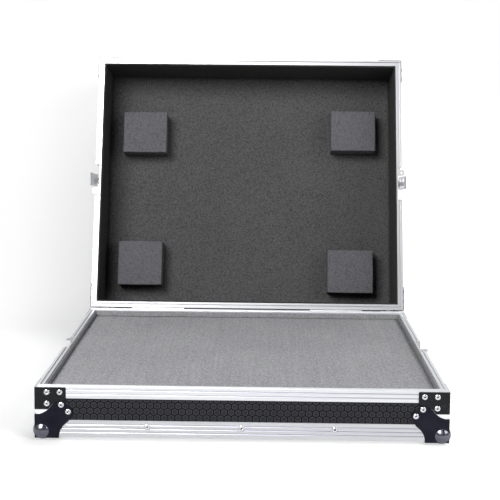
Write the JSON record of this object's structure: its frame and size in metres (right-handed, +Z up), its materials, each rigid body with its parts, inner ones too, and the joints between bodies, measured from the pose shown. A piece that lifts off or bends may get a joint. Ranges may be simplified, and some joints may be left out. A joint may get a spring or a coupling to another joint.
{
  "type": "mixer flight case",
  "caption": "Hard case for a mixing desk: a shallow foam-filled tray and a deeper hinged lid, with recessed butterfly latches, ball corners and aluminium edges.",
  "frame": {"origin": "middle of the foam slab's top face, where the mixer lies", "axes": "+Z up out of the tray, +Y from the front to the hinges, +X to the right seen from the front; the lid is stored open, as pictured"},
  "size_m": [0.5972, 0.717, 0.5416],
  "materials": {
    "aluminium_section": "satin anodised",
    "laminated_board": "black laminate with an embossed hexagon pattern",
    "black_steel": "gloss black",
    "black_chrome": "polished black chrome",
    "zinc_steel": "zinc plated",
    "latch_steel": "plated",
    "bright_steel": "polished",
    "slab_foam": "grey closed-cell foam",
    "lining_foam": "dark grey fine foam",
    "pad_foam": "grey foam"
  },
  "bodies": {
    "base": {"base_bottom_panel": "laminated_board", "base_front_panel": "laminated_board", "base_back_panel": "laminated_board", "base_left_panel": "laminated_board", "base_right_panel": "laminated_board", "base_rim_front": "aluminium_section", "base_rim_back": "aluminium_section", "base_rim_left": "aluminium_section", "base_rim_right": "aluminium_section", "base_edge_front": "aluminium_section", "base_edge_back": "aluminium_section", "base_edge_left": "aluminium_section", "base_edge_right": "aluminium_section", "base_corner_angles": "aluminium_section", "base_corner_braces": "black_steel", "base_ball_corners": "black_chrome", "base_lining": "lining_foam", "base_foam_slab": "slab_foam", "keeper_dishes": "latch_steel", "base_hinge_leaves": "zinc_steel", "hinge_pins": "zinc_steel"},
    "lid": {"lid_top_panel": "laminated_board", "lid_front_panel": "laminated_board", "lid_back_panel": "laminated_board", "lid_left_panel": "laminated_board", "lid_right_panel": "laminated_board", "lid_rim_front": "aluminium_section", "lid_rim_back": "aluminium_section", "lid_rim_left": "aluminium_section", "lid_rim_right": "aluminium_section", "lid_edge_front": "aluminium_section", "lid_edge_back": "aluminium_section", "lid_edge_left": "aluminium_section", "lid_edge_right": "aluminium_section", "lid_corner_angles": "aluminium_section", "lid_corner_braces": "black_steel", "lid_ball_corners": "black_chrome", "lid_wall_lining": "lining_foam", "lid_top_lining": "lining_foam", "pad_upper_left": "pad_foam", "pad_upper_right": "pad_foam", "pad_lower_left": "pad_foam", "pad_lower_right": "pad_foam", "lid_latch_dishes": "latch_steel", "hook_springs": "zinc_steel", "lid_hinge_leaves": "zinc_steel", "handle_plate": "latch_steel"},
    "carry_handle": {"carry_handle": "bright_steel"},
    "left_spindle": {"left_latch_spindle": "latch_steel"},
    "left_drive": {"left_drive_plate": "zinc_steel"},
    "left_hook": {"left_latch_hook": "bright_steel"},
    "left_butterfly": {"left_butterfly_handle": "bright_steel"},
    "right_spindle": {"right_latch_spindle": "latch_steel"},
    "right_drive": {"right_drive_plate": "zinc_steel"},
    "right_hook": {"right_latch_hook": "bright_steel"},
    "right_butterfly": {"right_butterfly_handle": "bright_steel"}
  },
  "joints": [
    {"name": "lid_hinge", "type": "hinge", "parent": "base", "child": "lid", "pos_m": [0, 0.241, 0.00925], "axis": [1, 0, 0], "range_deg": [0, 105]},
    {"name": "carry_handle_swing", "type": "hinge", "parent": "lid", "child": "carry_handle", "pos_m": [0, 0.42627, 0.46016], "axis": [-1, 0, 0], "range_deg": [0, 90]},
    {"name": "left_latch_turn", "type": "hinge", "parent": "lid", "child": "left_spindle", "pos_m": [-0.286, 0.33839, 0.23266], "axis": [1, 0, 0], "range_deg": [0, 180]},
    {"name": "left_drive_slide", "type": "slide", "parent": "lid", "child": "left_drive", "axis": [0, 0.9659, -0.2588], "range_m": [0, 0.006]},
    {"name": "left_hook_tilt", "type": "hinge", "parent": "left_drive", "child": "left_hook", "pos_m": [-0.2848, 0.31328, 0.23938], "axis": [0, 0.2588, 0.9659], "range_deg": [0, 26]},
    {"name": "left_butterfly_flip", "type": "hinge", "parent": "left_spindle", "child": "left_butterfly", "pos_m": [-0.2876, 0.33839, 0.23266], "axis": [0, 0.2588, 0.9659], "range_deg": [0, 90]},
    {"name": "right_latch_turn", "type": "hinge", "parent": "lid", "child": "right_spindle", "pos_m": [0.286, 0.33839, 0.23266], "axis": [-1, 0, 0], "range_deg": [0, 180]},
    {"name": "right_drive_slide", "type": "slide", "parent": "lid", "child": "right_drive", "axis": [0, 0.9659, -0.2588], "range_m": [0, 0.006]},
    {"name": "right_hook_tilt", "type": "hinge", "parent": "right_drive", "child": "right_hook", "pos_m": [0.2848, 0.31328, 0.23938], "axis": [0, -0.2588, -0.9659], "range_deg": [0, 26]},
    {"name": "right_butterfly_flip", "type": "hinge", "parent": "right_spindle", "child": "right_butterfly", "pos_m": [0.2876, 0.33839, 0.23266], "axis": [0, -0.2588, -0.9659], "range_deg": [0, 90]}
  ],
  "couplings": [
    {"joint": "left_drive_slide", "follows": "left_latch_turn", "m_per_rad": 0.0019098},
    {"joint": "left_hook_tilt", "follows": "left_latch_turn", "ratio": 0.14444},
    {"joint": "right_drive_slide", "follows": "right_latch_turn", "m_per_rad": 0.0019098},
    {"joint": "right_hook_tilt", "follows": "right_latch_turn", "ratio": 0.14444}
  ]
}
